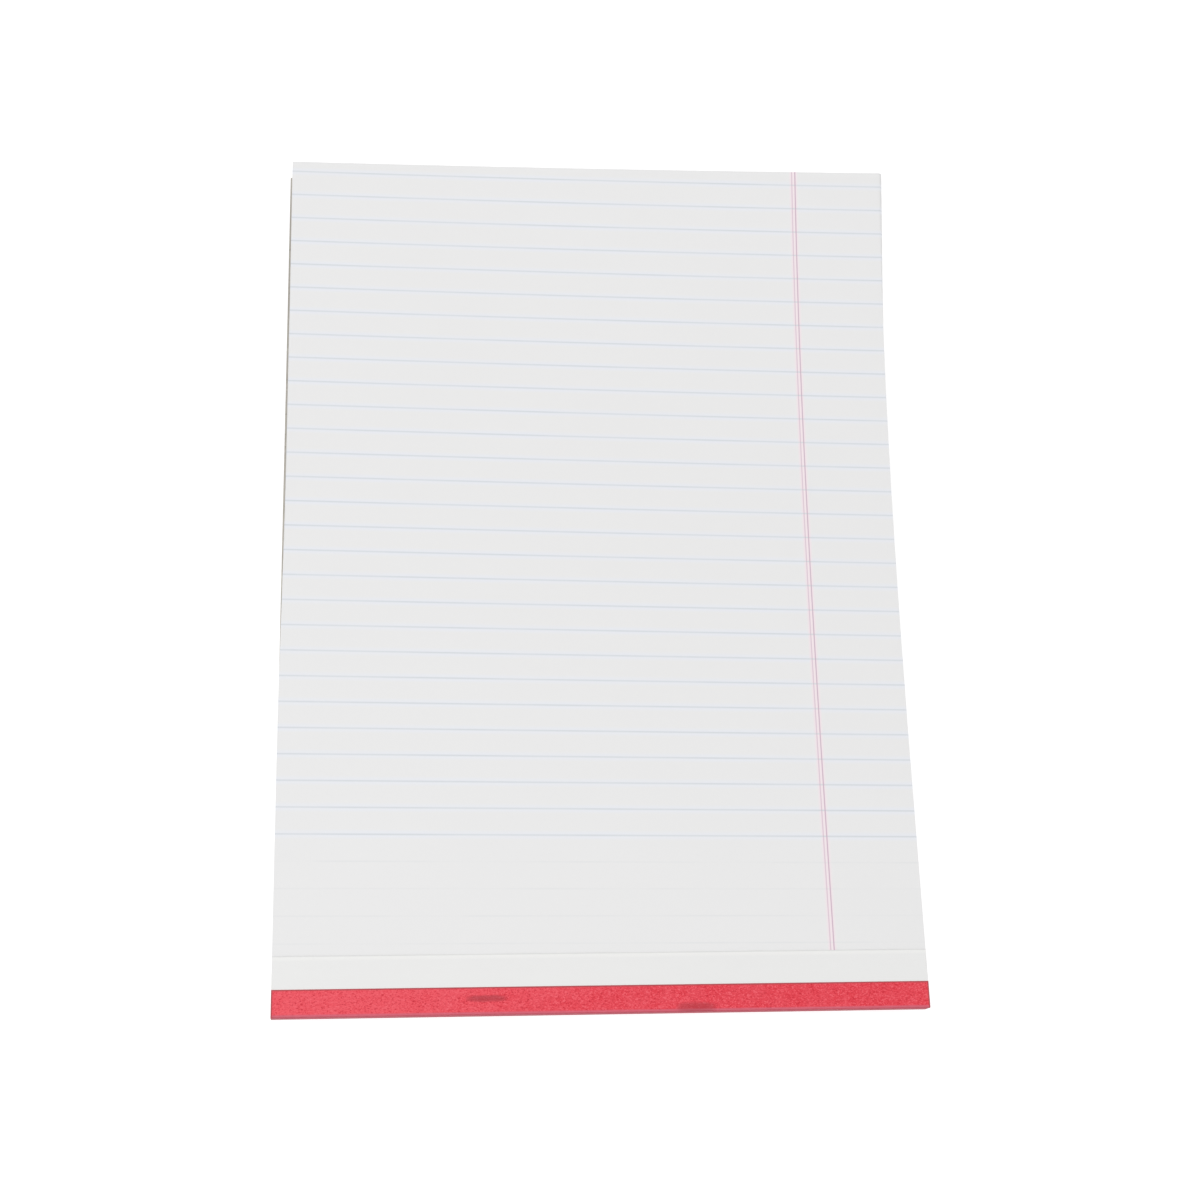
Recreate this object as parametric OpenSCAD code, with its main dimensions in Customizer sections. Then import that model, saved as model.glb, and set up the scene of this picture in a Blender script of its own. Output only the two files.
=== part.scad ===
// Ruled writing pad: a block of sheets and a header strip, stapled through a chipboard
// board and bound along the head with tape. It lies on its board, and the loose foot of
// the sheets curls up, most at the left-hand corner.
// +X is to the right and +Y towards the head, as the pad is read. +Z is up.

/* [Sheets] */
// Width of the sheets and of the board
sheet_w = 212.7; // [120:0.1:300]
// Length of the sheets and of the board, from the head to the foot
sheet_l = 298.45; // [180:0.05:450]
// Thickness of all the sheets together
block_t = 5; // [1.5:0.1:12]
// How far the right-hand edge of the sheets stands inside the board at the foot
edge_inset = 0.9; // [0:0.1:3]
// Distance from the head at which that inset starts
inset_from = 80; // [10:1:110]
// Distance from the head at which that inset is full
inset_full = 190; // [120:1:260]

/* [Curl] */
// Flat stretch of the left-hand edge between the header strip and the start of the curl
flat_run = 24.3; // [5:0.1:120]
// Slope of the sheets at the raised corner of the foot, in degrees
curl_slope = 14; // [1:0.5:30]
// Slant of the curl: 0 lifts the whole foot evenly, more lifts its left corner, in degrees
curl_slant = 20; // [0:1:35]

/* [Board] */
// Thickness of the chipboard backing board
board_t = 0.7; // [0.6:0.05:3]

/* [Header strip] */
// Depth of the paper strip along the head
strip_d = 18.9; // [18:0.1:45]
// Thickness of the paper strip
strip_t = 0.1; // [0.05:0.01:0.3]

/* [Binding tape] */
// Width of the flap of tape on the front
front_flap = 8.5; // [7:0.1:17]
// Width of the flap of tape on the back
back_flap = 11; // [8:0.1:25]
// Thickness of the tape
tape_t = 0.12; // [0.06:0.01:0.4]
// How far the tape slopes down beside a staple before it lies flat
tent_run = 0.9; // [0.7:0.05:1.2]

/* [Staples] */
// Outside width of a staple's crown
crown_w = 12.7; // [8:0.1:20]
// Diameter of the staple wire
wire_d = 0.5; // [0.35:0.01:0.55]
// Length of each clinched leg on the back, from the outside of the leg
clinch_l = 4.6; // [2:0.1:6]
// Room around the wire in the sheets and the board
wire_gap = 0.05; // [0.02:0.01:0.1]
// Place of the right-hand staple's middle across the pad
staple_right_x = 39; // [20:0.5:45]
// Distance of the right-hand staple from the head
staple_right_inset = 5.1; // [2.2:0.1:5.7]
// Place of the left-hand staple's middle across the pad
staple_left_x = -28.5; // [-45:0.5:-20]
// Distance of the left-hand staple from the head
staple_left_inset = 1.6; // [1.6:0.1:5.7]

/* [Hidden] */

// Cells of the sheet's surface across and along the curled stretch
cells_across = 12;
cells_along = 26;
// Steps in which the slope is summed along the sheet to give its height
sum_steps = 12;
// Overlap of cutting tools past the faces that they cut
past = 1;
$fn = 32;

// Heights of the layers, from the face that the pad lies on
board_z = tape_t;
block_z = board_z + board_t;
strip_z = block_z + block_t;
top_z = strip_z + strip_t;

// The tape's wall at the head counts in the overall length, which is centred on the origin
head_y = (sheet_l - tape_t) / 2;
half_w = sheet_w / 2;

// Start of the curl along the left-hand edge, and its whole run to the raised corner
curl_from = strip_d + flat_run;
curl_run = (sheet_l - curl_from) * cos(curl_slant);

wire_r = wire_d / 2;
hole_r = wire_r + wire_gap;
crown_z = top_z + wire_r;
clinch_z = board_z + wire_r;

// Each staple: place of its middle across the pad, and its distance from the head
STAPLES = [[staple_right_x, staple_right_inset], [staple_left_x, staple_left_inset]];

function total(v) = v * [for (x = v) 1];

// Smooth rise from 0 at low to 1 at high
function rise(x, low, high) =
    let (t = max(0, min(1, (x - low) / (high - low)))) t * t * (3 - 2 * t);

// Slope of the sheet, in degrees, at a distance d past the line where the curl starts
function slope(d) = curl_slope * pow(d / curl_run, 2);
// Height and level reach of the bent sheet after the length d of paper
function lift(d) = d / sum_steps * total([for (i = [0.5:1:sum_steps]) sin(slope(d * i / sum_steps))]);
function reach(d) = d / sum_steps * total([for (i = [0.5:1:sum_steps]) cos(slope(d * i / sum_steps))]);

// A point of the flat sheet, a across and b from the head, where the bent sheet has it.
// The paper bends without stretching, about lines that slant across the sheet.
function bent(a, b) =
    let (
        d = max(0, (b - curl_from) * cos(curl_slant) - (a + half_w) * sin(curl_slant)),
        drawn_in = d > 0 ? d - reach(d) : 0
    )
    [
        a + drawn_in * sin(curl_slant),
        head_y - b + drawn_in * cos(curl_slant),
        d > 0 ? lift(d) : 0
    ];

// Place across the sheet of the column i, with the right-hand edge standing inside the board
function across(i, b) =
    let (a = -half_w + sheet_w * i / cells_across)
    a - edge_inset * rise(b, inset_from, inset_full) * i / cells_across;

// Distance from the head of the row j: the head itself, then the rows of the curled stretch
function along(j) = j == 0 ? 0 : curl_from + (sheet_l - curl_from) * (j - 1) / cells_along;

// The whole block of sheets: each sheet has the same bend as the one below it
module bent_block(low_z, high_z) {
    columns = cells_across + 1;
    rows = cells_along + 2;
    layer = columns * rows;
    function at(i, j, k) = k * layer + j * columns + i;
    points = [
        for (z = [low_z, high_z]) for (j = [0:rows - 1]) for (i = [0:cells_across])
            bent(across(i, along(j)), along(j)) + [0, 0, z]
    ];
    faces = concat(
        [for (j = [0:rows - 2]) for (i = [0:cells_across - 1]) each [
            [at(i, j, 1), at(i + 1, j, 1), at(i + 1, j + 1, 1)],
            [at(i, j, 1), at(i + 1, j + 1, 1), at(i, j + 1, 1)],
            [at(i, j, 0), at(i + 1, j + 1, 0), at(i + 1, j, 0)],
            [at(i, j, 0), at(i, j + 1, 0), at(i + 1, j + 1, 0)]
        ]],
        [for (j = [0:rows - 2]) each [
            [at(0, j, 0), at(0, j, 1), at(0, j + 1, 1)],
            [at(0, j, 0), at(0, j + 1, 1), at(0, j + 1, 0)],
            [at(cells_across, j, 0), at(cells_across, j + 1, 1), at(cells_across, j, 1)],
            [at(cells_across, j, 0), at(cells_across, j + 1, 0), at(cells_across, j + 1, 1)]
        ]],
        [for (i = [0:cells_across - 1]) each [
            [at(i, 0, 0), at(i + 1, 0, 1), at(i, 0, 1)],
            [at(i, 0, 0), at(i + 1, 0, 0), at(i + 1, 0, 1)],
            [at(i, rows - 1, 0), at(i, rows - 1, 1), at(i + 1, rows - 1, 1)],
            [at(i, rows - 1, 0), at(i + 1, rows - 1, 1), at(i + 1, rows - 1, 0)]
        ]]
    );
    polyhedron(points = points, faces = faces, convexity = 4);
}

// Runs its children once for each staple, with the origin at the crown's middle on z = 0
module at_staples() {
    for (place = STAPLES)
        translate([place[0], head_y - place[1], 0]) children();
}

// Holes that the legs of all the staples pass through
module leg_holes(low_z, high_z) {
    at_staples()
        for (side = [-1, 1])
            translate([side * (crown_w / 2 - wire_r), 0, low_z - past])
                cylinder(r = hole_r, h = high_z - low_z + 2 * past);
}

// Groove in the back of the board that one clinched leg is pressed into, from the leg inwards
module clinch_groove() {
    half_groove = hole_r + wire_gap;
    run = clinch_l - wire_r + wire_gap;
    translate([-run, -half_groove, board_z - past])
        cube([run + half_groove, 2 * half_groove, past + wire_d + wire_gap]);
}

// A quarter turn of wire about the origin, from +X to +Z
module elbow() {
    rotate([90, 0, 0]) rotate_extrude(angle = 90) translate([hole_r, 0]) circle(r = wire_r);
}

// The right half of a staple: half the crown, a leg and its clinched end
module half_staple() {
    leg_x = crown_w / 2 - wire_r;
    bend_x = leg_x - hole_r;
    top_bend_z = crown_z - hole_r;
    low_bend_z = clinch_z + hole_r;
    clinch_end_x = crown_w / 2 - clinch_l;
    translate([0, 0, crown_z]) rotate([0, 90, 0]) cylinder(r = wire_r, h = bend_x);
    translate([bend_x, 0, top_bend_z]) elbow();
    translate([leg_x, 0, low_bend_z]) cylinder(r = wire_r, h = top_bend_z - low_bend_z);
    translate([bend_x, 0, low_bend_z]) mirror([0, 0, 1]) elbow();
    translate([clinch_end_x, 0, clinch_z]) rotate([0, 90, 0])
        cylinder(r = wire_r, h = bend_x - clinch_end_x);
}

// Outer or inner form of the tape where it is stretched over a crown like a tent
module crown_tent(crown_r, run) {
    leg_x = crown_w / 2 - wire_r;
    hull() {
        for (side = [-1, 1]) translate([side * leg_x, 0, crown_z]) sphere(r = crown_r, $fn = 24);
        translate([-crown_w / 2 - run, -run, top_z - tape_t])
            cube([crown_w + 2 * run, 2 * run, tape_t]);
    }
}

// Section of the tape folded round the head: Y runs to the head, up is Z
module tape_section() {
    translate([head_y - front_flap, top_z]) square([front_flap, tape_t]);
    translate([head_y, board_z]) square([tape_t, top_z - board_z]);
    translate([head_y - back_flap, 0]) square([back_flap, tape_t]);
    translate([head_y, top_z]) circle(r = tape_t);
    translate([head_y, board_z]) circle(r = tape_t);
}

// All the ruled sheets as one solid
module page_block() {
    color([0.93, 0.93, 0.94])
        difference() {
            bent_block(block_z, strip_z);
            leg_holes(block_z, strip_z);
        }
}

// Flat grey-brown chipboard, with the clinched legs pressed into its back
module backing_board() {
    color([0.68, 0.65, 0.6])
        difference() {
            translate([-half_w, head_y - sheet_l, board_z]) cube([sheet_w, sheet_l, board_t]);
            leg_holes(board_z, block_z);
            at_staples()
                for (side = [0, 1])
                    mirror([side, 0, 0]) translate([crown_w / 2 - wire_r, 0, 0]) clinch_groove();
        }
}

// Plain white paper strip over the head of the top sheet
module header_strip() {
    color([0.95, 0.95, 0.94])
        difference() {
            translate([-half_w, head_y - strip_d, strip_z]) cube([sheet_w, strip_d, strip_t]);
            leg_holes(strip_z, top_z);
        }
}

// Red tape over the front, the head and the back, lifted where it covers the crowns
module binding_tape() {
    pad_d = max(front_flap, back_flap) + past;
    color([0.9, 0.2, 0.26])
        difference() {
            union() {
                translate([-half_w, 0, 0])
                    rotate([90, 0, 90]) linear_extrude(sheet_w) tape_section();
                at_staples() crown_tent(hole_r + tape_t, tent_run + tape_t);
            }
            translate([-half_w - past, head_y - pad_d, board_z])
                cube([sheet_w + 2 * past, pad_d, top_z - board_z]);
            at_staples() crown_tent(hole_r, tent_run);
        }
}

// Two staples of bright wire, each bent from one length
module staples() {
    color([0.75, 0.76, 0.78])
        at_staples()
            for (side = [0, 1]) mirror([side, 0, 0]) half_staple();
}

page_block();
backing_board();
header_strip();
binding_tape();
staples();
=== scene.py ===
# %% [markdown]
# # A ruled writing pad
# The pad is a block of white ruled sheets on a chipboard board. A paper strip lies over the head of the top
# sheet, two staples go through everything, and red tape closes the head. It lies on its back, and the loose
# foot of the sheets curls up. All of it could be modelled here by eye. Its measured solids exist already,
# though, so they are loaded first, and each visible surface is then made on them and keeps their size.

# %% Load the measured solids
import math
import random

import bmesh
import bpy
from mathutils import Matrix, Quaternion, Vector, noise


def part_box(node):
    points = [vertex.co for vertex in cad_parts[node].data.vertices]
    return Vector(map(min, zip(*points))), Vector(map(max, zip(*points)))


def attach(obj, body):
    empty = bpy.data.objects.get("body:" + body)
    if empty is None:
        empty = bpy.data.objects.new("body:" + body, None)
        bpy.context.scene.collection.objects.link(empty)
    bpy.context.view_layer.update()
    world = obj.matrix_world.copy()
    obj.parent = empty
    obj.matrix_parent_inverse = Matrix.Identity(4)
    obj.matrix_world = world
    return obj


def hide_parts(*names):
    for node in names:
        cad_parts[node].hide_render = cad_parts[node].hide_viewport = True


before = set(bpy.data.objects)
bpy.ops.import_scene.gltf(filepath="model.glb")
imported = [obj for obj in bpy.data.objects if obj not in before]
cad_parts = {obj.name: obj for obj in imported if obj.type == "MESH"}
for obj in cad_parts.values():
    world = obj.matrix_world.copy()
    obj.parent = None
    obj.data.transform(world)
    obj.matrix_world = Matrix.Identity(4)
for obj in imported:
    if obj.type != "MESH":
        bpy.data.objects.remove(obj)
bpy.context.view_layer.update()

# %% [markdown]
# ## The sizes
# The board and the sheets of a pad are cut together, so they share their outline. Each length could be typed
# in again, but what the solids already say is read from their boxes, so a new size of the solids carries
# through. Only the tape's front flap is written here, because a box can't tell it. Blender works in metres,
# so a length in millimetres is multiplied by MM.

# %% Read the sizes from the solids
MM = 0.001
board_low, board_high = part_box("backing_board")
block_low, block_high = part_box("page_block")
strip_low, strip_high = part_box("header_strip")
tape_low, tape_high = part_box("binding_tape")
staple_low, staple_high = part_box("staples")

HALF_W = board_high.x
HEAD_Y = board_high.y
SHEET_L = board_high.y - board_low.y
STRIP_D = strip_high.y - strip_low.y
STRIP_T = strip_high.z - strip_low.z
TAPE_T = tape_high.y - HEAD_Y
FRONT_FLAP = 8.5 * MM
BACK_FLAP = HEAD_Y - tape_low.y
print("sheet, mm:", round(2 * HALF_W / MM, 2), "by", round(SHEET_L / MM, 2))

# %% [markdown]
# ## How the sheets curl
# Paper bends but doesn't stretch. The sheets lie flat under the strip, and past a line that slants across
# the page they rise, more and more steeply, so that the left-hand corner of the foot stands highest.
# Blender's own bend modifier would roll them into an even arc, and sculpting would stretch them. So one
# function says where each point of the flat sheet goes. The slope grows with the square of the distance past
# the slanting line. Adding up its sine gives the height of a point, and adding up its cosine gives how far
# the point still reaches.

# %% Bend a point of the flat sheet
CURL_FROM = 43.2 * MM
CURL_SLANT = math.radians(20)
CURL_SLOPE = math.radians(14)
CURL_RUN = (SHEET_L - CURL_FROM) * math.cos(CURL_SLANT)
CURL_STEPS = 12
EDGE_INSET = 0.9 * MM
INSET_FROM, INSET_FULL = 80 * MM, 190 * MM


def rise(x, low, high):
    """Smooth rise from 0 at low to 1 at high."""
    t = min(1.0, max(0.0, (x - low) / (high - low)))
    return t * t * (3 - 2 * t)


def bent(across, down):
    """Place of a flat sheet's point, across the page and down from the head, once the sheet has curled."""
    share = (across + HALF_W) / (2 * HALF_W)
    across -= EDGE_INSET * rise(down, INSET_FROM, INSET_FULL) * share
    past = max(0.0, (down - CURL_FROM) * math.cos(CURL_SLANT) - (across + HALF_W) * math.sin(CURL_SLANT))
    slopes = [CURL_SLOPE * (past * (i + 0.5) / CURL_STEPS / CURL_RUN) ** 2 for i in range(CURL_STEPS)]
    lift = past * sum(map(math.sin, slopes)) / CURL_STEPS
    drawn_in = past - past * sum(map(math.cos, slopes)) / CURL_STEPS
    x = across + drawn_in * math.sin(CURL_SLANT)
    y = HEAD_Y - down + drawn_in * math.cos(CURL_SLANT)
    return x, y, lift


corner = strip_low.z + bent(-HALF_W, SHEET_L)[2]
print("raised corner, mm:", round(corner / MM, 2), "and the solid's", round(block_high.z / MM, 2))

# %% [markdown]
# ## Helpers for the meshes
# Each piece starts as a bmesh, which operators shape one after the other, and ends as one object at the
# origin with its place in its mesh. Modifiers could do some of this, but a bmesh shows each step in order.
# Faces are shaded smooth, and an edge where two faces meet at more than 40 degrees is marked sharp, so a
# bent sheet looks smooth while its cut rim stays crisp.

# %% Turn a bmesh into a piece
SHARP = math.radians(40)


def finished(bm, name, material, slot, *replaced):
    """One object from bm, which rides on the pad, stands for the solids named last and wears material."""
    for face in bm.faces:
        face.smooth = True
    for edge in bm.edges:
        edge.smooth = edge.calc_face_angle(0) < SHARP
    mesh = bpy.data.meshes.new(name)
    bm.to_mesh(mesh)
    bm.free()
    mesh.materials.append(material)
    piece = bpy.data.objects.new(name, mesh)
    bpy.context.scene.collection.objects.link(piece)
    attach(piece, "root")
    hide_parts(*replaced)
    print(name, "faces", len(mesh.polygons))
    return piece


print("edges stay crisp past, degrees:", round(math.degrees(SHARP)))

# %% [markdown]
# ## Helpers for the materials
# A finish such as ruled paper is a small network of nodes. It could be drawn by hand in the shader editor,
# but a script can be read, repeated and changed. These helpers place a node, set its plain values and join
# what feeds it, so a line of code reads like a line of arithmetic.

# %% Place a node and do sums with it


def feed(tree, socket, value):
    """Gives a socket a plain value, or joins another node's socket to it."""
    if isinstance(value, bpy.types.NodeSocket):
        tree.links.new(value, socket)
    else:
        socket.default_value = value


def node(tree, kind, inputs=(), **settings):
    """A node of that kind. inputs pairs a socket's name or number with a value or with another socket."""
    made = tree.nodes.new(kind)
    for name, value in settings.items():
        setattr(made, name, value)
    for key, value in dict(inputs).items():
        feed(tree, made.inputs[key], value)
    return made


def math_node(tree, operation, *values):
    """The result of one sum on sockets or numbers."""
    return node(tree, "ShaderNodeMath", enumerate(values), operation=operation).outputs[0]


def product(tree, first, *others):
    """Sockets and numbers multiplied together. Masks are joined in this way."""
    for other in others:
        first = math_node(tree, "MULTIPLY", first, other)
    return first


def mapped(tree, value, low, high, to_low=0.0, to_high=1.0):
    """value carried smoothly from low..high to to_low..to_high, and held there outside."""
    limits = {"Value": value, "From Min": low, "From Max": high, "To Min": to_low, "To Max": to_high}
    return node(tree, "ShaderNodeMapRange", limits, interpolation_type="SMOOTHSTEP").outputs["Result"]


def own_place(tree):
    """The point's own place in metres. A pattern that reads it stays on the piece."""
    return node(tree, "ShaderNodeTexCoord").outputs["Object"]


def axes(tree, place):
    """The three parts of a place."""
    return node(tree, "ShaderNodeSeparateXYZ", {"Vector": place}).outputs


def stored(tree, name):
    """A number that the mesh itself keeps under that name."""
    return node(tree, "ShaderNodeAttribute", attribute_name=name).outputs["Fac"]


print("helpers for nodes are ready")

# %% Mix colours and start a material


def linear(red, green, blue):
    """A colour as a picture shows it, 0 to 255, turned into the light that Blender works with."""
    parts = [c / 255 for c in (red, green, blue)]
    return [c / 12.92 if c <= 0.04045 else ((c + 0.055) / 1.055) ** 2.4 for c in parts] + [1.0]


def mixed(tree, share, first, second):
    """first where share is 0 and second where it is 1. Both are colours."""
    mix = node(tree, "ShaderNodeMix", {"Factor": share}, data_type="RGBA")
    for socket, value in zip([s for s in mix.inputs if s.type == "RGBA"], (first, second)):
        feed(tree, socket, value)
    return next(s for s in mix.outputs if s.type == "RGBA")


def swing(tree, mask, amount, middle=1.0):
    """middle, moved up or down by up to half of amount as mask leaves 0.5."""
    return math_node(tree, "MULTIPLY_ADD", mask, amount, math_node(tree, "SUBTRACT", middle, amount / 2))


def shaded(tree, colour, shade):
    """A colour made darker where shade is below 1 and lighter where it is above."""
    return node(tree, "ShaderNodeVectorMath", {0: colour[:3], "Scale": shade}, operation="SCALE").outputs[0]


def roughen(tree, surface, height, strength, depth):
    """Makes the surface uneven, by up to depth where height goes from 0 to 1."""
    bump = node(tree, "ShaderNodeBump", {"Height": height, "Strength": strength, "Distance": depth})
    feed(tree, surface.inputs["Normal"], bump.outputs["Normal"])


def new_material(name, roughness, **plain):
    """A material, its tree and its surface shader, with plain values set on the shader's own sockets."""
    material = bpy.data.materials.new(name)
    material.use_nodes = True
    tree = material.node_tree
    surface = tree.nodes["Principled BSDF"]
    surface.inputs["Roughness"].default_value = roughness
    for socket, value in plain.items():
        surface.inputs[socket.replace("_", " ")].default_value = value
    return material, tree, surface


print("half as bright to the eye is this much light:", round(linear(128, 128, 128)[0], 3))

# %% [markdown]
# ## Two effects that several materials share
# Paper, tape and chipboard are all felted fibre, so one group gives them their clouds and their fibres: soft
# blotches, and finer streaks that are drawn out along the grain. The second group is a line with soft edges,
# which draws the rules, the margin and the tape's cut edges. Each material could have its own copy of these
# nodes, but a group is built once, and each material then gives it its own values.

# %% A group for felted fibre


def new_group(name, inputs, outputs):
    """An empty shader group with named number or vector sockets, and its two end nodes."""
    group = bpy.data.node_groups.new(name, "ShaderNodeTree")
    for socket, kind in inputs.items():
        group.interface.new_socket(name=socket, in_out="INPUT", socket_type="NodeSocket" + kind)
    for socket in outputs:
        group.interface.new_socket(name=socket, in_out="OUTPUT", socket_type="NodeSocketFloat")
    return group, group.nodes.new("NodeGroupInput").outputs, group.nodes.new("NodeGroupOutput").inputs


fibre_group, given, put = new_group(
    "Felted fibre", {"Place": "Vector", "Clouds per m": "Float", "Fibres per m": "Float", "Grain": "Vector"},
    ["Clouds", "Fibres"])
clouds = node(fibre_group, "ShaderNodeTexNoise", {
    "Vector": given["Place"], "Scale": given["Clouds per m"], "Detail": 4.0, "Roughness": 0.55})
drawn_out = node(fibre_group, "ShaderNodeVectorMath", [(0, given["Place"]), (1, given["Grain"])],
                 operation="MULTIPLY")
fibres = node(fibre_group, "ShaderNodeTexNoise", {
    "Vector": drawn_out.outputs[0], "Scale": given["Fibres per m"], "Detail": 3.0, "Roughness": 0.7,
    "Distortion": 0.6})
feed(fibre_group, put["Clouds"], clouds.outputs["Fac"])
feed(fibre_group, put["Fibres"], fibres.outputs["Fac"])


def fibre(tree, place, clouds_per_m, fibres_per_m, grain=(1, 1, 1)):
    """The clouds and the fibres of a material, each around 0.5."""
    values = {"Place": place, "Clouds per m": clouds_per_m, "Fibres per m": fibres_per_m, "Grain": grain}
    made = node(tree, "ShaderNodeGroup", values, node_tree=fibre_group)
    return made.outputs["Clouds"], made.outputs["Fibres"]


print("group", fibre_group.name, "nodes", len(fibre_group.nodes))

# %% A group for a soft-edged line
line_group, given, put = new_group(
    "Soft line", {"Distance": "Float", "Half width": "Float", "Softness": "Float"}, ["Line"])
reach_out = math_node(line_group, "ADD", given["Half width"], given["Softness"])
reach_in = math_node(line_group, "SUBTRACT", given["Half width"], given["Softness"])
off_line = math_node(line_group, "ABSOLUTE", given["Distance"])
feed(line_group, put["Line"], mapped(line_group, off_line, reach_in, reach_out, 1.0, 0.0))


def soft_line(tree, distance, half_width, softness):
    """1 on a line and 0 off it. distance is a socket that is 0 on the line."""
    values = {"Distance": distance, "Half width": half_width, "Softness": softness}
    return node(tree, "ShaderNodeGroup", values, node_tree=line_group).outputs["Line"]


print("group", line_group.name, "nodes", len(line_group.nodes))

# %% [markdown]
# ## The ruled paper
# Writing paper is matt and nearly white, with pale blue rules and a pink double margin line. A picture of
# the page could be laid on it, but it would blur close by. Sums draw the print sharp at any distance. They
# work on the sheet's own flat map, which holds metres across the page and down from the head, because the
# print belongs to the flat sheet. The rules stand 8.78 mm apart, a hair over 11/32 inch, are counted up from
# the foot, and were printed a little out of square. Each line also has a wide haze around it, as pale ink
# has when it is photographed.

# %% Size the print
RULES = 28
RULE_PITCH = 8.777 * MM
FOOT_RULE = 4.4 * MM
RULE_SKEW = 0.0073
RULE_HALF, RULE_SOFT = 0.25 * MM, 0.2 * MM
RULE_HAZE_HALF, MARGIN_HAZE_HALF, HAZE_SOFT = 1.2 * MM, 1.25 * MM, 0.75 * MM
MARGIN_HALF, MARGIN_SOFT = 0.19 * MM, 0.12 * MM
MARGINS = {"inner": (-74.2 * MM, 0.62), "outer": (-75.36 * MM, 1.0)}
print("rules", RULES, "pitch, mm:", round(RULE_PITCH / MM, 3))

# %% Mix the inks
PAPER = linear(235.2, 235, 235)
RULE_INK = linear(216, 219.8, 224.3)
RULE_HAZE = linear(234, 236, 241)
GHOST_INK = linear(227, 228, 229)
MARGIN_INK = linear(206, 178, 196)
MARGIN_HAZE = linear(244.5, 231.5, 236)
print("the paper sends back", round(PAPER[0], 3), "of the light, and a rule", round(RULE_INK[0], 3))

# %% Find the rules on the flat sheet
sheet_material, tree, surface = new_material("Ruled paper", roughness=0.85, Specular_IOR_Level=0.3)
flat_map = node(tree, "ShaderNodeUVMap", uv_map="flat").outputs["UV"]
across, down, _ = axes(tree, flat_map)
from_foot = math_node(tree, "SUBTRACT", SHEET_L - FOOT_RULE, down)
squared = math_node(tree, "MULTIPLY_ADD", across, RULE_SKEW, from_foot)
count = math_node(tree, "DIVIDE", squared, RULE_PITCH)
off_count = math_node(tree, "SUBTRACT", count, math_node(tree, "ROUND", count))
off_rule = math_node(tree, "MULTIPLY", off_count, RULE_PITCH)
rules = soft_line(tree, off_rule, RULE_HALF, RULE_SOFT)
rule_haze = soft_line(tree, off_rule, RULE_HAZE_HALF, HAZE_SOFT)
ruled = math_node(tree, "LESS_THAN", count, RULES - 0.5)
print("first rule below the head, mm:", round((SHEET_L - FOOT_RULE - (RULES - 1) * RULE_PITCH) / MM, 1))

# %% [markdown]
# ### Where the ink is thin
# Printed ink lies unevenly, and above the first rule the paper is blank: there only the rules on the back of
# the sheet show through, as patches of a faint grey line. They could be left out, but they tell how thin the
# paper is. One mask for the amount of ink does both. It follows the paper's clouds, and it is weaker where
# the front isn't ruled and on the cut edges. The mesh itself says which faces carry print, under the name
# printed.

# %% Let the ink come and go
SHEET_CLOUDS, SHEET_FIBRES = 28.0, 900.0
INK_WINDOW = (0.36, 0.64)
LEAST_INK, LEAST_GHOST = 0.74, 0.15
SHOW_THROUGH = 0.6
CUT_INK = 0.1
clouds, fibres = fibre(tree, flat_map, SHEET_CLOUDS, SHEET_FIBRES)
least = mapped(tree, ruled, 0, 1, LEAST_GHOST, LEAST_INK)
ink_flow = mapped(tree, clouds, *INK_WINDOW, least, 1.0)
front = mapped(tree, ruled, 0, 1, SHOW_THROUGH, 1.0)
on_face = mapped(tree, stored(tree, "printed"), 0, 1, CUT_INK)
inked = product(tree, front, ink_flow, on_face)
rule_ink = mixed(tree, ruled, GHOST_INK, RULE_INK)
print("ink that shows through, at most:", SHOW_THROUGH)

# %% Lay the print on the paper
CLOUD_SHADE, FIBRE_SHADE = 0.02, 0.012
shade = swing(tree, fibres, FIBRE_SHADE, swing(tree, clouds, CLOUD_SHADE))
colour = shaded(tree, PAPER, product(tree, shade, stored(tree, "leaf_tone")))
colour = mixed(tree, product(tree, rule_haze, inked, ruled), colour, RULE_HAZE)
middle = sum(place for place, strength in MARGINS.values()) / len(MARGINS)
margin_haze = soft_line(tree, math_node(tree, "SUBTRACT", across, middle), MARGIN_HAZE_HALF, HAZE_SOFT)
colour = mixed(tree, product(tree, margin_haze, on_face), colour, MARGIN_HAZE)
colour = mixed(tree, product(tree, rules, inked), colour, rule_ink)
for place, strength in MARGINS.values():
    line = soft_line(tree, math_node(tree, "SUBTRACT", across, place), MARGIN_HALF, MARGIN_SOFT)
    colour = mixed(tree, product(tree, line, on_face, strength), colour, MARGIN_INK)
feed(tree, surface.inputs["Base Color"], colour)
roughen(tree, surface, fibres, strength=0.12, depth=0.02 * MM)
print(sheet_material.name, "nodes", len(tree.nodes), "margin line, mm from the left:",
      round((middle + HALF_W) / MM, 1))

# %% [markdown]
# ## The sheets
# A real pad holds about 50 sheets of writing paper, each a tenth of a millimetre thick. The block could stay
# one solid with lines painted on its side, but real sheets give the side its fine shadows. One flat closed
# sheet is made from a grid that is given its thickness. Its map is written while it is still flat, because
# that is when it was printed, and then every point is bent.

# %% Make one flat sheet
SHEETS = 50
SHEET_PITCH = (strip_low.z - block_low.z) / SHEETS
SHEET_T = 0.88 * SHEET_PITCH
HEAD_GAP = 0.1 * MM
CELLS_ACROSS, CELLS_DOWN = 16, 40


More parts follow.
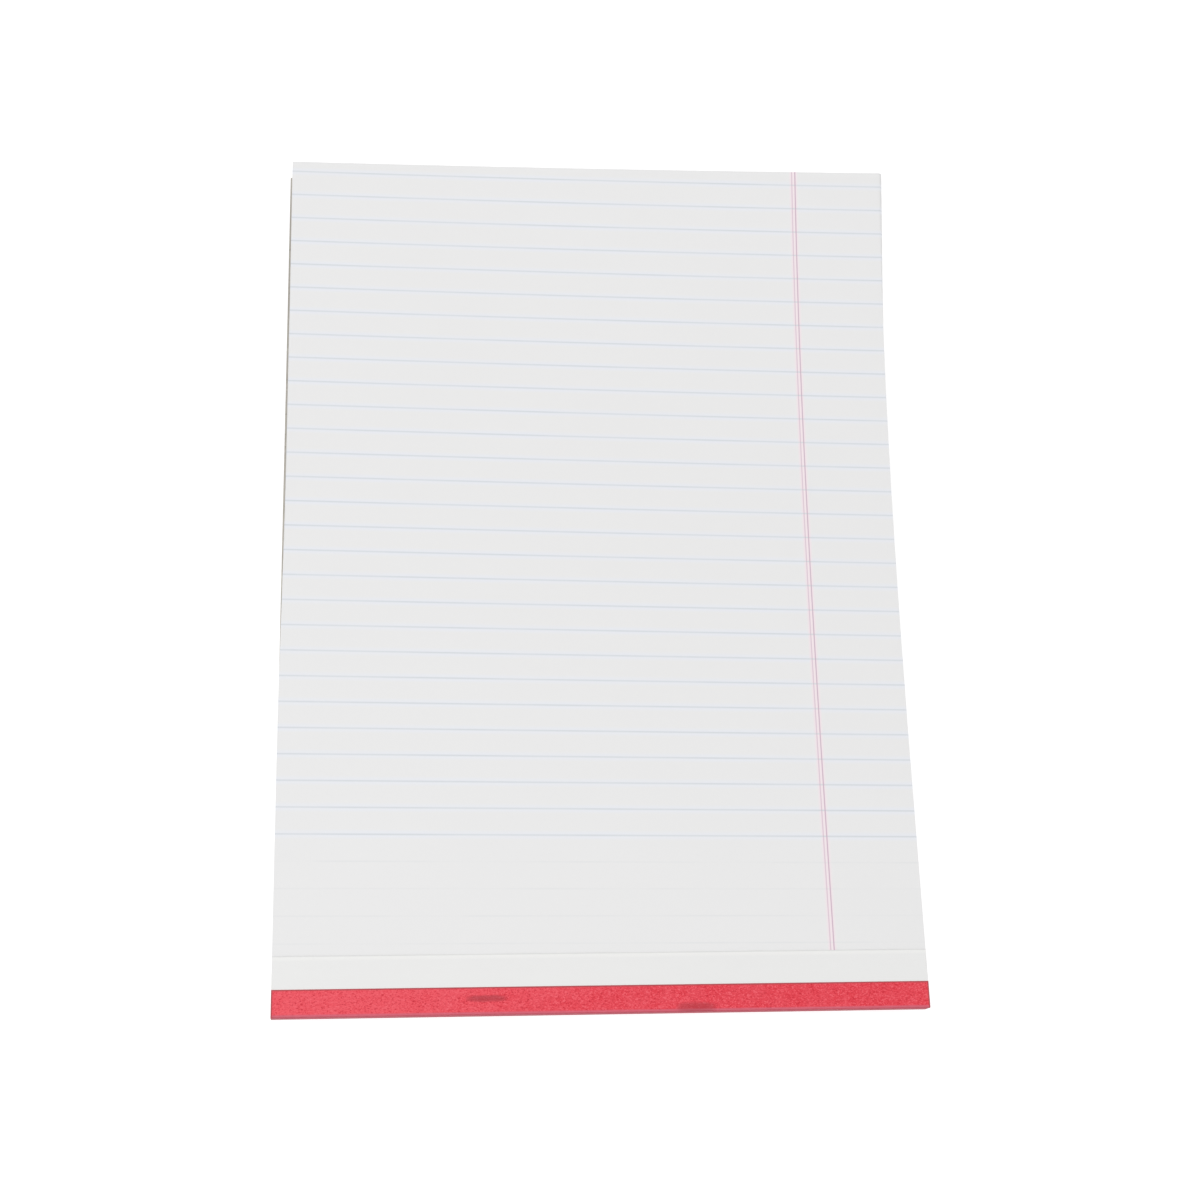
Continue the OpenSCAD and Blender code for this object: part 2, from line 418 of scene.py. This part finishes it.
def flat_sheet(head, foot, thick, cells_across, cells_down):
    """A closed flat sheet from head to foot. x is across, minus y is down from the head, z 0 is its top."""
    bm = bmesh.new()
    grid = bmesh.ops.create_grid(bm, x_segments=cells_across, y_segments=cells_down, size=0.5)
    bmesh.ops.scale(bm, vec=(2 * HALF_W, foot - head, 1), verts=grid["verts"])
    bmesh.ops.translate(bm, vec=(0, -(head + foot) / 2, 0), verts=grid["verts"])
    pushed = bmesh.ops.extrude_face_region(bm, geom=bm.faces[:])
    lower = [v for v in pushed["geom"] if isinstance(v, bmesh.types.BMVert)]
    bmesh.ops.translate(bm, vec=(0, 0, -thick), verts=lower)
    bmesh.ops.recalc_face_normals(bm, faces=bm.faces)
    return bm


sheet = flat_sheet(HEAD_GAP, SHEET_L, SHEET_T, CELLS_ACROSS, CELLS_DOWN)
print("one sheet, points:", len(sheet.verts), "thick, mm:", round(SHEET_T / MM, 3))

# %% Write the map of the flat sheet


def write_flat_map(bm):
    """Gives each corner of each face its place on the flat sheet, and marks the faces that carry print."""
    layer = bm.loops.layers.uv.new("flat")
    printed = bm.faces.layers.float.new("printed")
    bm.normal_update()
    for face in bm.faces:
        face[printed] = round(abs(face.normal.z))
        for loop in face.loops:
            loop[layer].uv = loop.vert.co.x, -loop.vert.co.y


write_flat_map(sheet)
marked = sheet.faces.layers.float["printed"]
print("faces that carry print:", sum(face[marked] > 0 for face in sheet.faces), "of", len(sheet.faces))

# %% [markdown]
# ### A second map, for baking
# When the pad goes to a tool without Blender's nodes, its looks are baked into pictures. Blender can unwrap
# a sheet by itself, but then the underside and the rim take as much of the picture as the front, and the
# fine rules blur. So the top sheet brings its own map, which gives the front nearly all of the square, the
# underside a narrow band, and the rim a hair.

# %% Write the map for baking
BAKED_FACE, BAKED_UNDERSIDE, BAKED_RIM = (0.0, 0.88), (0.89, 0.97), (0.98, 1.0)
RIM_SIDES = 4
RIM_UPPER, RIM_LOWER = 0.8, 0.2


def write_bake_map(bm):
    """Lays the front, the underside and the four sides of the rim beside each other in one square."""
    flat, baked = bm.loops.layers.uv["flat"], bm.loops.layers.uv.new("OFBake")
    for face in bm.faces:
        turned = face.normal
        side = 2 * (abs(turned.y) > 0.5) + (turned.x + turned.y > 0)
        for loop in face.loops:
            x, down = loop[flat].uv
            share, along = (x + HALF_W) / (2 * HALF_W), 1 - down / SHEET_L
            if abs(turned.z) > 0.5:
                low, high = BAKED_FACE if turned.z > 0 else BAKED_UNDERSIDE
                loop[baked].uv = low + (high - low) * share, along
            else:
                low, high = BAKED_RIM
                step = (side + (RIM_UPPER if loop.vert.co.z > -SHEET_T / 2 else RIM_LOWER)) / RIM_SIDES
                loop[baked].uv = low + (high - low) * step, along if side < 2 else share


write_bake_map(sheet)
print("maps of the sheet:", list(sheet.loops.layers.uv.keys()))

# %% Bend the sheet and keep a pattern of it
for v in sheet.verts:
    x, y, lift = bent(v.co.x, -v.co.y)
    v.co = x, y, v.co.z + lift
tone_layer = sheet.verts.layers.float.new("leaf_tone")
for v in sheet.verts:
    v[tone_layer] = 1.0
pattern = bpy.data.meshes.new("sheet_pattern")
sheet.to_mesh(pattern)
pattern.uv_layers.remove(pattern.uv_layers["OFBake"])
print("bent sheet, highest point in mm:", round(max(v.co.z for v in sheet.verts) / MM, 2))

# %% Lay the top sheet
for v in sheet.verts:
    v.co.z += strip_low.z
finished(sheet, "top_sheet", sheet_material, "sheets", "page_block")

# %% [markdown]
# ### The stack under the top sheet
# The cut edges of a used pad are never quite flush, and its sheets fan out a little where they lift: some
# lie close and some stand off. At the foot those under the top one have also slipped sideways. An Array
# modifier would stack them evenly, like a block of plastic. So each copy of the pattern is moved by its own
# small random amounts, which grow from nothing at the bound head to their full size at the foot, and has its
# own tone.

# %% Stack the sheets under it
FAN = 0.022
TRIM = 0.07 * MM
DARKEST = 0.9
SPLAY, SPLAY_FROM, SPLAY_STEP = 1.0 * MM, 0.76, 0.35
UNEVEN = 4
draw = random.Random(7)
gaps = [draw.random() ** UNEVEN for _ in range(SHEETS)]
opened = [sum(gaps[:k + 1]) / sum(gaps) for k in range(SHEETS)]

stack = bmesh.new()
for k in range(SHEETS - 1):
    first = len(stack.verts)
    stack.from_mesh(pattern)
    stack.verts.ensure_lookup_table()
    tone_layer = stack.verts.layers.float["leaf_tone"]
    side, foot, tone = draw.gauss(0, TRIM), draw.gauss(0, TRIM), draw.uniform(DARKEST, 1)
    slipped = SPLAY * min(1, SPLAY_STEP * (SHEETS - 1 - k))
    for v in stack.verts[first:]:
        held = (HEAD_Y - v.co.y) / SHEET_L
        v.co.z = v.co.z * (1 - FAN * (1 - opened[k])) + block_low.z + SHEET_PITCH * (k + 1)
        v.co.x += side * held - slipped * rise(held, SPLAY_FROM, 1)
        v.co.y += foot * held
        v[tone_layer] = tone
finished(stack, "under_sheets", sheet_material, "sheets", "page_block")

# %% [markdown]
# ## The header strip
# A strip of smooth white paper lies over the head of the top sheet. It is stapled and taped along the head
# only, so its free edge stands off the page by a hair and throws its own thin shadow from every side. Just
# inside that free edge the paper is painted a little paler, as painted light, and on the edge itself it is
# painted darker, as the edge's shadow together with the cut's own grey. Both follow the distance from that
# edge.

# %% Make the strip's paper
STRIP_PAPER = linear(234.9, 234.9, 234)
# painted light beside the free edge, then painted shadow with the cut's own grey on the edge itself
STRIP_PAINTED_LIGHT = linear(238.5, 238.5, 237)
STRIP_CUT_AND_SHADOW = linear(223, 223, 222)
STRIP_CLOUDS, STRIP_FIBRES, STRIP_SHADE = 40.0, 1200.0, 0.015
FREE_LIGHT_BAND, FREE_SHADOW_HALF = 1.8 * MM, 0.24 * MM

strip_material, tree, surface = new_material("Strip paper", roughness=0.75, Specular_IOR_Level=0.35)
place = own_place(tree)
clouds, fibres = fibre(tree, place, STRIP_CLOUDS, STRIP_FIBRES)
from_free = math_node(tree, "SUBTRACT", axes(tree, place)["Y"], HEAD_Y - STRIP_D)
colour = shaded(tree, STRIP_PAPER, swing(tree, clouds, STRIP_SHADE))
# painted light: a paler band just inside the lifted free edge
colour = mixed(tree, mapped(tree, from_free, FREE_LIGHT_BAND, FREE_LIGHT_BAND / 2), colour, STRIP_PAINTED_LIGHT)
# painted shadow of the lifted edge, with the cut's own grey, as a thin dark line on the edge
colour = mixed(tree, soft_line(tree, from_free, FREE_SHADOW_HALF, FREE_SHADOW_HALF / 2), colour, STRIP_CUT_AND_SHADOW)
feed(tree, surface.inputs["Base Color"], colour)
roughen(tree, surface, fibres, strength=0.1, depth=0.02 * MM)
print(strip_material.name, "nodes", len(tree.nodes))

# %% Make the strip
STRIP_EASE = 0.004 * MM
STRIP_ACROSS, STRIP_DOWN = 70, 20
FREE_LIFT, FREE_RUN = 0.1 * MM, 5 * MM
WAVE, WAVE_L = 0.5, 30 * MM

strip = flat_sheet(HEAD_GAP, STRIP_D, STRIP_T - STRIP_EASE, STRIP_ACROSS, STRIP_DOWN)
for v in strip.verts:
    wave = 1 + WAVE * noise.noise(Vector((v.co.x / WAVE_L, 0, 0)))
    lift = FREE_LIFT * wave * rise(-v.co.y, STRIP_D - FREE_RUN, STRIP_D)
    v.co.y += HEAD_Y
    v.co.z += strip_high.z + lift
finished(strip, "strip_paper", strip_material, "strip_paper", "header_strip")

# %% [markdown]
# ## The red tape
# The tape is a narrow band of dyed, fibrous paper, glued over the front of the head, down its face and under
# the back. It could be three boxes, but its turned edges would be too hard. So a band is drawn across the
# pad, spun round the upper edge, pushed down, spun round the lower edge and pushed along the back, and then
# it gets its thickness. Over each staple it stands up in a soft ridge, which is highest along the wire and
# dies away as a bell curve does.

# %% Raise a ridge over each staple
CROWN_W, WIRE_D = 12.7 * MM, 0.5 * MM
STAPLES = {"right": (39 * MM, 5.1 * MM), "left": (-28.5 * MM, 1.6 * MM)}
RIDGE_H = staple_high.z - strip_high.z + 0.05 * MM
RIDGE_HALF = 0.55 * MM


def ridge(x, y):
    """Height of the tape's ridge over the nearest staple."""
    height = 0.0
    for middle, inset in STAPLES.values():
        beside = max(0.0, abs(x - middle) - (CROWN_W - WIRE_D) / 2)
        away = math.hypot(beside, y - (HEAD_Y - inset))
        height = max(height, RIDGE_H * math.exp(-((away / RIDGE_HALF) ** 2)))
    return height


print("ridge over a staple, mm:", round(RIDGE_H / MM, 2))

# %% Push and spin a row of edges
QUARTER = math.radians(90)
TINY = 1e-6


def pushed_on(bm, edges, step, times):
    """Extrudes a row of edges several times and gives back the last row."""
    for _ in range(times):
        made = bmesh.ops.extrude_edge_only(bm, edges=edges)["geom"]
        bmesh.ops.translate(bm, vec=step, verts=[v for v in made if isinstance(v, bmesh.types.BMVert)])
        edges = [e for e in made if isinstance(e, bmesh.types.BMEdge) and len(e.link_faces) == 1
                 and abs(e.verts[0].co.x - e.verts[1].co.x) > TINY]
    return edges


def spun(bm, edges, centre):
    """Turns a row of edges a quarter round a line across the pad and gives back the last row."""
    made = bmesh.ops.spin(bm, geom=edges, cent=centre, axis=(1, 0, 0), angle=-QUARTER, steps=5)["geom_last"]
    return [e for e in made if isinstance(e, bmesh.types.BMEdge)]


print("a turn round an edge, degrees:", round(math.degrees(QUARTER)))

# %% Fold the tape round the head
BEND_R = 0.2 * MM
TAPE_CELLS, FLAP_CELLS, WALL_CELLS, BACK_CELLS = 300, 36, 6, 10
flap = FRONT_FLAP - BEND_R
wall = strip_high.z - board_low.z - 2 * BEND_R
turn_y = HEAD_Y - BEND_R

tape = bmesh.new()
grid = bmesh.ops.create_grid(tape, x_segments=TAPE_CELLS, y_segments=FLAP_CELLS, size=0.5)
bmesh.ops.scale(tape, vec=(2 * HALF_W, flap, 1), verts=grid["verts"])
bmesh.ops.translate(tape, vec=(0, turn_y - flap / 2, strip_high.z), verts=grid["verts"])
for v in tape.verts:
    v.co.z += ridge(v.co.x, v.co.y)
row = [e for e in tape.edges if e.is_boundary and min(v.co.y for v in e.verts) > turn_y - TINY]
row = spun(tape, row, (0, turn_y, strip_high.z - BEND_R))
row = pushed_on(tape, row, (0, 0, -wall / WALL_CELLS), WALL_CELLS)
row = spun(tape, row, (0, turn_y, board_low.z + BEND_R))
pushed_on(tape, row, (0, -(BACK_FLAP - BEND_R) / BACK_CELLS, 0), BACK_CELLS)
bmesh.ops.recalc_face_normals(tape, faces=tape.faces)
print("folded tape, faces:", len(tape.faces))

# %% [markdown]
# ## The tape's finish
# Dyed paper tape is mottled: the dye gathers in some fibres and misses others, which shows as fine streaks
# and specks. A plain red would look like plastic, and a photographed swatch would repeat. Noise that is
# drawn out a little along the tape gives both the deep and the pale fibres, from its two ends. Painted sheen
# makes it paler towards the right, and its cut edges are darker, by their own colour and by painted shade.
# Over the turn at the head it is paler and duller with painted sheen, and down the head's face it is
# darker with painted shade.

# %% Mix the reds
RED = linear(227, 61, 75)
# painted sheen, paler red towards the right end
RED_SHEEN = linear(236, 82, 94)
RED_DEEP = linear(194, 36, 52)
RED_PALE = linear(242, 104, 116)
# darker cut edges: their own colour together with painted shade at the edges
RED_CUT_AND_SHADE = linear(178, 74, 80)
# painted sheen where the tape bends over the head
RED_TURN_SHEEN = linear(206, 104, 122)
# painted shade on the tape's face down the head
RED_WALL_SHADE = linear(178, 84, 100)
STAPLE_SHADE = linear(150, 60, 68)
print("the dye sends back", round(RED[0] / RED[1], 1), "times as much red as green")

# %% Streak the tape with fibres
TAPE_CLOUDS, TAPE_FIBRES, TAPE_GRAIN = 260.0, 2400.0, (0.7, 1, 1)
SHEEN_FROM = -40 * MM
DEEP_WINDOW, PALE_WINDOW, FIBRE_SHARE = (0.51, 0.68), (0.5, 0.33), 0.9
BLOTCH_WINDOW, BLOTCH_SHARE = (0.35, 0.65), 0.18
FIBRE_RANGE, TAPE_ROUGH = (0.3, 0.7), (0.5, 0.7)

tape_material, tree, surface = new_material("Red binding tape", roughness=0.6, Specular_IOR_Level=0.2)
place = own_place(tree)
tape_x, tape_y, tape_z = axes(tree, place)
clouds, fibres = fibre(tree, place, TAPE_CLOUDS, TAPE_FIBRES, TAPE_GRAIN)
# painted sheen: the red turns paler towards the right end
colour = mixed(tree, mapped(tree, tape_x, SHEEN_FROM, HALF_W), RED, RED_SHEEN)
for window, red in ((DEEP_WINDOW, RED_DEEP), (PALE_WINDOW, RED_PALE)):
    colour = mixed(tree, product(tree, mapped(tree, fibres, *window), FIBRE_SHARE), colour, red)
colour = mixed(tree, mapped(tree, clouds, *BLOTCH_WINDOW, 0.0, BLOTCH_SHARE), colour, RED_PALE)
feed(tree, surface.inputs["Roughness"], mapped(tree, fibres, *FIBRE_RANGE, *TAPE_ROUGH))
roughen(tree, surface, fibres, strength=0.5, depth=0.05 * MM)
print(tape_material.name, "nodes so far", len(tree.nodes))

# %% Paint sheen on its turn and shade down the head's face, and darken its cut edges
TURN_FROM, TURN_FULL, TURN_SHARE, WALL_SHARE = 1.05 * MM, 0.3 * MM, 0.9, 0.6
RAGGED = 0.4 * MM
CUT_HALF, CUT_SOFT = 0.42 * MM, 0.2 * MM

from_head = math_node(tree, "SUBTRACT", HEAD_Y, tape_y)
# painted sheen on the tape's bend over the head, paler and duller
turned = mapped(tree, from_head, TURN_FROM, TURN_FULL, 0.0, TURN_SHARE)
on_wall = mapped(tree, from_head, TURN_FULL, 0.0, 0.0, WALL_SHARE)
colour = mixed(tree, math_node(tree, "SUBTRACT", turned, on_wall), colour, RED_TURN_SHEEN)
# painted shade: the tape's face down the head is darker, as it faces away from the light
colour = mixed(tree, on_wall, colour, RED_WALL_SHADE)
ragged = math_node(tree, "MULTIPLY", math_node(tree, "SUBTRACT", clouds, 0.5), RAGGED)
front_edge = math_node(tree, "ADD", math_node(tree, "SUBTRACT", from_head, FRONT_FLAP), ragged)
side_edge = math_node(tree, "SUBTRACT", math_node(tree, "ABSOLUTE", tape_x), HALF_W)
# darker line along the front edge and the two ends: the cut's own colour and painted shade at the edge
for distance in (front_edge, side_edge):
    colour = mixed(tree, soft_line(tree, distance, CUT_HALF, CUT_SOFT), colour, RED_CUT_AND_SHADE)
print("cut edge, mm wide:", round((CUT_HALF + CUT_SOFT) / MM, 2))

# %% [markdown]
# ## The staples under the tape
# Tape of this kind is a little see-through, so the steel below it shows as a soft dark bar. The tape could
# be made truly see-through, but then its glue, the strip and the light under it would all have to be right.
# A shade painted over each staple is simpler. It is a long rounded bar: its ends are held by the fourth
# power of the distance along it, its flanks by the square of the distance across it, and the clouds fray its
# outline.

# %% Show the staples through it
MARK_HALF_W = CROWN_W / 2 + 0.9 * MM
# Each mark sits a little towards the head, on the ridge's shaded side, so it is partly the steel under the
# tape and partly painted shade of the ridge.
MARKS = {"right": (0.2 * MM, 1.3 * MM, 0.5), "left": (0.7 * MM, 2.4 * MM, 0.42)}
MARK_FRAY = 3.0
FRONT_ONLY = 1.0 * MM

on_front = mapped(tree, tape_z, strip_high.z - FRONT_ONLY, strip_high.z)
for which, (middle, inset) in STAPLES.items():
    shift, half_height, depth = MARKS[which]
    along = math_node(tree, "DIVIDE", math_node(tree, "SUBTRACT", tape_x, middle), MARK_HALF_W)
    off_crown = math_node(tree, "SUBTRACT", tape_y, HEAD_Y - inset + shift)
    off_crown = math_node(tree, "MULTIPLY_ADD", ragged, MARK_FRAY, off_crown)
    off_crown = math_node(tree, "DIVIDE", off_crown, half_height)
    away = math_node(tree, "ADD", math_node(tree, "POWER", math_node(tree, "ABSOLUTE", along), 4.0),
                     math_node(tree, "MULTIPLY", off_crown, off_crown))
    mark = product(tree, mapped(tree, away, 1.0, 0.0, 0.0, depth), on_front)
    colour = mixed(tree, mark, colour, STAPLE_SHADE)
    print("shade over the", which, "staple, mm wide:", round(2 * MARK_HALF_W / MM, 1))
feed(tree, surface.inputs["Base Color"], colour)

# %% Give the tape its thickness
bmesh.ops.solidify(tape, geom=tape.faces[:], thickness=-TAPE_T)
bmesh.ops.recalc_face_normals(tape, faces=tape.faces)
finished(tape, "head_tape", tape_material, "red_tape", "binding_tape")

# %% [markdown]
# ## The chipboard and the staples
# Chipboard is grey-brown pulp, with dark and light flecks of the paper that it was made from. Staple wire is
# bright zinc-coated steel, with fine lines along it from drawing. Both could be modelled again, but the
# solids already have the right shape, so they stay and only get a finish. The board's fibres are drawn out
# along the page and the wire's across it, along the staples' crowns.

# %% Give the board its chipboard
CHIPBOARD = linear(197, 192, 183)
CHIP_DARK = linear(150, 143, 132)
CHIP_LIGHT = linear(220, 217, 210)
BOARD_CLOUDS, BOARD_FIBRES, BOARD_GRAIN, BOARD_SPECKS = 120.0, 700.0, (1, 0.5, 1), 420.0
DARK_FIBRES, LIGHT_FIBRES, FIBRES_SHOW = (0.56, 0.72), (0.44, 0.3), 0.6
DARK_CLOUDS, CLOUDS_SHOW = (0.35, 0.7), 0.15
SPECK_RIM, SPECKS_SHOW = (0.16, 0.05), 0.5


def dress(name, material):
    """Puts one material on a solid that keeps its shape."""
    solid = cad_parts[name]
    solid.data.materials.clear()
    solid.data.materials.append(material)
    print(name, "wears", material.name)


board_material, tree, surface = new_material("Chipboard", roughness=0.9, Specular_IOR_Level=0.25)
place = own_place(tree)
clouds, fibres = fibre(tree, place, BOARD_CLOUDS, BOARD_FIBRES, BOARD_GRAIN)
specks = node(tree, "ShaderNodeTexVoronoi", {"Vector": place, "Scale": BOARD_SPECKS, "Randomness": 1.0})
colour = mixed(tree, mapped(tree, fibres, *DARK_FIBRES, 0.0, FIBRES_SHOW), CHIPBOARD, CHIP_DARK)
colour = mixed(tree, mapped(tree, fibres, *LIGHT_FIBRES, 0.0, FIBRES_SHOW), colour, CHIP_LIGHT)
colour = mixed(tree, mapped(tree, clouds, *DARK_CLOUDS, 0.0, CLOUDS_SHOW), colour, CHIP_DARK)
speck = mapped(tree, specks.outputs["Distance"], *SPECK_RIM, 0.0, SPECKS_SHOW)
colour = mixed(tree, speck, colour, CHIP_DARK)
feed(tree, surface.inputs["Base Color"], colour)
roughen(tree, surface, fibres, strength=0.4, depth=0.06 * MM)
dress("backing_board", board_material)

# %% Give the staples their wire
WIRE_BRIGHT = linear(196, 198, 202)
WIRE_DULL = linear(178, 180, 184)
WIRE_CLOUDS, WIRE_LINES, WIRE_GRAIN = 300.0, 2500.0, (0.1, 1, 1)
WIRE_ROUGH = (0.24, 0.4)

wire_material, tree, surface = new_material("Staple wire", roughness=0.3, Metallic=1.0)
clouds, fibres = fibre(tree, own_place(tree), WIRE_CLOUDS, WIRE_LINES, WIRE_GRAIN)
feed(tree, surface.inputs["Base Color"], mixed(tree, clouds, WIRE_BRIGHT, WIRE_DULL))
feed(tree, surface.inputs["Roughness"], mapped(tree, fibres, *FIBRE_RANGE, *WIRE_ROUGH))
dress("staples", wire_material)

# %% [markdown]
# ## The floor
# The pad lies on a plain white ground, and only a faint shadow at its edges shows that it touches it. A
# floor that is lit to pure white would need so much light that the paper loses its tone. So to the camera,
# and in reflections, the floor adds a glow of its own to its colour. The glow is weaker close to the pad,
# where the shadow falls, and full further out. To the light that bounces about, it stays a plain grey floor.

# %% Lay the floor
FLOOR_HALF = 2.0
FLOOR_BOUNCE = (0.8, 0.8, 0.8, 1)
FLOOR_SEEN = (0.5, 0.5, 0.5, 1)
FLOOR_GLOW = 0.7
FLOOR_FADE = (0.25, 0.8)
WHITE = (1, 1, 1, 1)


def seen_directly(tree):
    """1 for what the camera sees, straight on, in a reflection or through glass, and 0 for other light."""
    path = node(tree, "ShaderNodeLightPath")
    seen = math_node(tree, "MAXIMUM", path.outputs["Is Camera Ray"], path.outputs["Is Glossy Ray"])
    return math_node(tree, "MAXIMUM", seen, path.outputs["Is Transmission Ray"])


floor_material, tree, surface = new_material(
    "Floor", roughness=1.0, Specular_IOR_Level=0.0, Emission_Color=WHITE)
seen = seen_directly(tree)
off_pad = node(tree, "ShaderNodeVectorMath", {0: own_place(tree)}, operation="LENGTH").outputs["Value"]
glow = mapped(tree, off_pad, *FLOOR_FADE, FLOOR_GLOW, 1.0)
feed(tree, surface.inputs["Emission Strength"], product(tree, seen, glow))
feed(tree, surface.inputs["Base Color"], mixed(tree, seen, FLOOR_BOUNCE, FLOOR_SEEN))

floor_mesh = bpy.data.meshes.new("floor")
bm = bmesh.new()
bmesh.ops.create_grid(bm, x_segments=1, y_segments=1, size=FLOOR_HALF)
bm.to_mesh(floor_mesh)
bm.free()
floor_mesh.materials.append(floor_material)
floor = bpy.data.objects.new("floor", floor_mesh)
bpy.context.scene.collection.objects.link(floor)
print("floor, m across:", 2 * FLOOR_HALF)

# %% [markdown]
# ## The light
# The pad is lit softly from all round, as in a light tent. Many lamps could stand round it, but an even
# white world does that in one step and leaves no hard shadow. One wide lamp overhead and a smaller one to
# the side give the raised corner and the cut edges a little form.

# %% Light the pad
WORLD_LIGHT = 0.5
world = bpy.data.worlds.new("Studio")
bpy.context.scene.world = world
world.use_nodes = True
tree = world.node_tree
background = tree.nodes["Background"]
background.inputs["Color"].default_value = WHITE
feed(tree, background.inputs["Strength"], mapped(tree, seen_directly(tree), 0, 1, WORLD_LIGHT, 1.0))


def lamp(name, place, size, power):
    """A square lamp that faces the middle of the pad."""
    light = bpy.data.lights.new(name, "AREA")
    light.size = size
    light.energy = power
    made = bpy.data.objects.new(name, light)
    made.location = place
    made.rotation_mode = "QUATERNION"
    made.rotation_quaternion = (-Vector(place)).to_track_quat("-Z", "Y")
    bpy.context.scene.collection.objects.link(made)
    print("lamp", name, "watts", power, "m away", round(Vector(place).length, 2))


lamp("overhead", (0.1, -0.1, 1.6), size=2.0, power=12.7)
lamp("key", (0.9, 0.7, 1.5), size=1.0, power=7.0)

# %% [markdown]
# ## The camera
# The pad is seen from above its head, a little to one side, with its head towards the viewer. The camera
# could be moved about by hand until the picture looks right. Here its place, its aim, its roll and its lens
# were solved together from the outline of the page and its rules, so they are written as they came out.

# %% Place the camera
LENS, SENSOR_W = 56.67, 36
CAMERA_AT = Vector((88.93, 206.50, 613.71)) * MM
LOOKS_AT = Vector((-1.25, 11.00, 5.92)) * MM
ROLL = math.radians(24.35)
camera = bpy.data.objects.new("camera", bpy.data.cameras.new("camera"))
camera.data.sensor_width = SENSOR_W
camera.data.lens = LENS
camera.location = CAMERA_AT
camera.rotation_mode = "QUATERNION"
aim = (LOOKS_AT - CAMERA_AT).to_track_quat("-Z", "Y")
camera.rotation_quaternion = aim @ Quaternion((0, 0, 1), ROLL)
bpy.context.scene.collection.objects.link(camera)
bpy.context.scene.camera = camera
bpy.context.scene.view_settings.view_transform = "Standard"
print("camera, mm from the pad:", round((CAMERA_AT - LOOKS_AT).length / MM))

# %% [markdown]
# ## The end
# The dressed pad should be no larger than its solids, apart from the sheets that have slipped at the foot.
# At the end the scene is brought up to date.

# %% Finish
bpy.context.view_layer.update()
